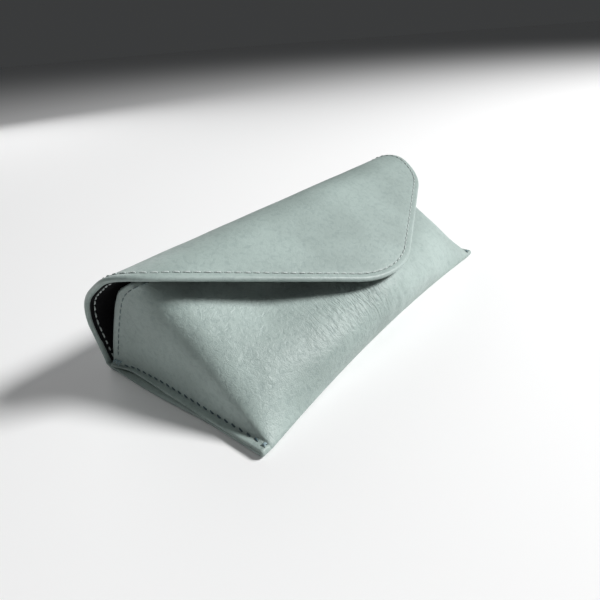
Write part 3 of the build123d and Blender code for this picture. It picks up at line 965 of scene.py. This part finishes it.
def lining_material():
    """Black microfibre: a short nap with a faint sheen."""
    material, nodes, links, shader = new_material("black_microfibre")
    nap = texture(nodes, links, "ShaderNodeTexNoise", 1800, Detail=3.0)
    stops = [(0.3, (0.003, 0.003, 0.0035)), (0.7, (0.009, 0.009, 0.010))]
    tone = ramp(nodes, links, nap.outputs["Fac"], stops)
    links.new(tone.outputs["Color"], shader.inputs["Base Color"])
    links.new(bump(nodes, links, nap.outputs["Fac"], 0.3, 0.0002), shader.inputs["Normal"])
    shader.inputs["Roughness"].default_value = 0.9
    shader.inputs["Specular IOR Level"].default_value = 0.15
    return material


def thread_material(name, colour):
    """Twisted sewing thread: fine wavy bands, with painted shade darkening the grooves between the strands.
    """
    material, nodes, links, shader = new_material(name)
    twist = texture(nodes, links, "ShaderNodeTexWave", 1100, Distortion=1.5)
    # painted shade: the bands darken where the bump's grooves lie
    dark = tuple(c * 0.62 for c in colour)
    tone = ramp(nodes, links, twist.outputs["Fac"], [(0.2, dark), (0.75, colour)])
    links.new(tone.outputs["Color"], shader.inputs["Base Color"])
    links.new(bump(nodes, links, twist.outputs["Fac"], 0.5, 0.0001), shader.inputs["Normal"])
    shader.inputs["Roughness"].default_value = 0.55
    return material


def mottled_material(name, dark, light, scale, roughness, metallic=0.0):
    """Plain materials: foam, board, magnet steel and the shade in a needle hole."""
    material, nodes, links, shader = new_material(name)
    noise_node = texture(nodes, links, "ShaderNodeTexNoise", scale, Detail=4.0)
    tone = ramp(nodes, links, noise_node.outputs["Fac"], [(0.3, dark), (0.7, light)])
    links.new(tone.outputs["Color"], shader.inputs["Base Color"])
    links.new(bump(nodes, links, noise_node.outputs["Fac"], 0.3, 0.0002), shader.inputs["Normal"])
    shader.inputs["Roughness"].default_value = roughness
    shader.inputs["Metallic"].default_value = metallic
    return material


# ---- camera, light and floor ----
CAMERA_PLACE = Vector((-140, -109, 104)) * MM
CAMERA_AZIMUTH = radians(49.4)
CAMERA_ELEVATION = radians(30.1)
CAMERA_ROLL = radians(-4.5)
CAMERA_LENS = 27.0
FLOOR_HALF_SIDE = 12.0
FLOOR_GAP = 0.3 * MM
WORLD_STRENGTH = 0.045


def make_camera():
    azimuth, elevation, roll = CAMERA_AZIMUTH, CAMERA_ELEVATION, CAMERA_ROLL
    forward = Vector((sin(azimuth) * cos(elevation), cos(azimuth) * cos(elevation), -sin(elevation)))
    right = Vector((cos(azimuth), -sin(azimuth), 0))
    up = right.cross(forward)
    x_axis = right * cos(roll) + up * sin(roll)
    y_axis = up * cos(roll) - right * sin(roll)
    data = bpy.data.cameras.new("camera")
    data.lens = CAMERA_LENS
    data.sensor_width = 36.0
    data.clip_start = 0.01
    camera = bpy.data.objects.new("camera", data)
    camera.matrix_world = Matrix((x_axis, y_axis, -forward)).transposed().to_4x4()
    camera.location = CAMERA_PLACE
    bpy.context.scene.collection.objects.link(camera)
    bpy.context.scene.camera = camera


def softbox(name, place, size, power, target=(0, 0, 0.02)):
    data = bpy.data.lights.new(name, "AREA")
    data.shape = "DISK"
    data.size = size
    data.energy = power
    light = bpy.data.objects.new(name, data)
    light.location = place
    light.rotation_euler = (Vector(target) - Vector(place)).to_track_quat("-Z", "Y").to_euler()
    bpy.context.scene.collection.objects.link(light)


def make_floor():
    corners = [(FLOOR_HALF_SIDE * x, FLOOR_HALF_SIDE * y, 0) for x, y in ((-1, -1), (1, -1), (1, 1), (-1, 1))]
    floor_material, _, _, shader = new_material("pale_floor")
    shader.inputs["Base Color"].default_value = (0.92, 0.92, 0.92, 1)
    shader.inputs["Roughness"].default_value = 0.9
    floor = mesh_object("floor", corners, [(0, 1, 2, 3)], [floor_material])
    floor.location.z = cad_box[0][2] - FLOOR_GAP


def make_world():
    world = bpy.data.worlds.new("studio")
    bpy.context.scene.world = world
    world.use_nodes = True
    background = world.node_tree.nodes["Background"]
    background.inputs["Color"].default_value = (0.95, 0.98, 1.0, 1)
    background.inputs["Strength"].default_value = WORLD_STRENGTH


# ---- assembly ----
HINGE_BEND = ((0, 0.0365, 0), (0, 0.0405, 0.005))      # base side, then wall side
FOLD_BEND = ((0, 0.020, 0.0455), (0, 0.0015, 0.045))   # spine side, then flap side
SAGE = (0.352, 0.430, 0.405)


def finish_piece(piece, replaced, body=None, bend=None):
    """Fixes a piece to its body, or bakes its place into its mesh where it lies across a bend, and hides the
    parts it stands for.
    """
    if bend:
        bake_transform(piece)
    else:
        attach(piece, body)
    if replaced:
        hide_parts(*replaced)


leather = leather_material("sage_leather", SAGE, 0.35)
front_leather = leather_material("sage_leather_front", SAGE, 0.6, tip_crinkles=True)
black = lining_material()
pale_thread = thread_material("pale_thread", (0.63, 0.70, 0.68))
hem_thread = thread_material("hem_thread", (0.20, 0.27, 0.275))
knot_thread = thread_material("knot_thread", (0.34, 0.46, 0.50))
blue_thread = thread_material("blue_thread", (0.065, 0.115, 0.13))
# painted shade: the dark colour of the blobs that stand for the needle holes
needle_hole_shade = mottled_material("needle_hole_shade", (0.15, 0.18, 0.17), (0.22, 0.26, 0.25), 900, 0.9)
foam = mottled_material("foam", (0.55, 0.54, 0.5), (0.72, 0.7, 0.66), 1500, 0.9)
fibre_board = mottled_material("fibre_board", (0.28, 0.22, 0.15), (0.42, 0.34, 0.25), 700, 0.8)
magnet_steel = mottled_material("magnet_steel", (0.45, 0.45, 0.47), (0.62, 0.62, 0.64), 300, 0.3, 1.0)

hinge_bend = (("pouch", "spine"), HINGE_BEND)
fold_bend = (("spine", "flap"), FOLD_BEND)

plain_front = front_grid()
front = wrinkled(plain_front, grid_normals(plain_front))
front_normals = grid_normals(front)

pouch = pouch_leather(front, front_leather, black)
finish_piece(pouch, ["back_panel", "front_panel"], "pouch")
pad = front_layer("front_pad", plain_front[::2, ::2], (6, -6), 6, PAD_DEPTH, PAD_THICKNESS, foam)
finish_piece(pad, ["front_padding"], "pouch")
front_cloth = front_layer("front_lining_cloth", plain_front, (6, -3), 9, LINING_DEPTH, LINING, black)
finish_piece(front_cloth, ["front_lining"], "pouch")

finish_piece(hinge_leather(leather), [], bend=hinge_bend)
finish_piece(roll_leather(leather), ["spine_panel", "flap_panel"], bend=fold_bend)
roll_cloth = roll_lining(black)
finish_piece(roll_cloth, ["spine_lining", "flap_lining"], bend=fold_bend)
base_cloth = base_lining(black)
finish_piece(base_cloth, ["base_lining"], bend=hinge_bend)

finish_piece(stitching("flap_edge_stitching", flap_edge_stitches(), pale_thread),
             ["flap_edge_thread"], bend=fold_bend)
finish_piece(stitching("spine_edge_stitching", spine_edge_stitches(), pale_thread),
             ["spine_edge_thread"], "spine")
hem = mouth_stitches(front, front_normals)
finish_piece(stitching("mouth_hem_stitching", hem, hem_thread, HEM_STITCH),
             ["mouth_hem_thread"], "pouch")
for word, side in (("left", -1), ("right", 1)):
    seam = slanted(along_chain(*seam_line(front, front_normals, side), STITCH_PITCH), side * SEAM_SLANT)
    finish_piece(stitching(word + "_seam_stitching", seam, blue_thread, SEAM_STITCH),
                 [word + "_seam_thread"], "pouch")
    knot = knot_stitches(front, front_normals, side)
    finish_piece(stitching(word + "_seam_knot", knot, knot_thread, KNOT_STITCH),
                 [], "pouch")
    bar = bartack_stitches(front, side)
    finish_piece(stitching(word + "_bartack_stitching", bar, knot_thread, BARTACK_STITCH),
                 [word + "_bartack"], "pouch")

for node, material in (("base_board", fibre_board), ("flap_stiffener", fibre_board),
                       ("flap_magnet", magnet_steel), ("front_magnet", magnet_steel)):
    frame["nodes"][node].data.materials.clear()
    frame["nodes"][node].data.materials.append(material)

make_camera()
make_world()
make_floor()
softbox("key", (0.75, -0.82, 0.93), 0.42, 26.5)
softbox("left", (-0.42, 0.05, 0.85), 0.5, 1.0)
softbox("back", (0.1, 0.75, 0.40), 0.6, 1.6)
bpy.context.scene.view_settings.view_transform = "Standard"
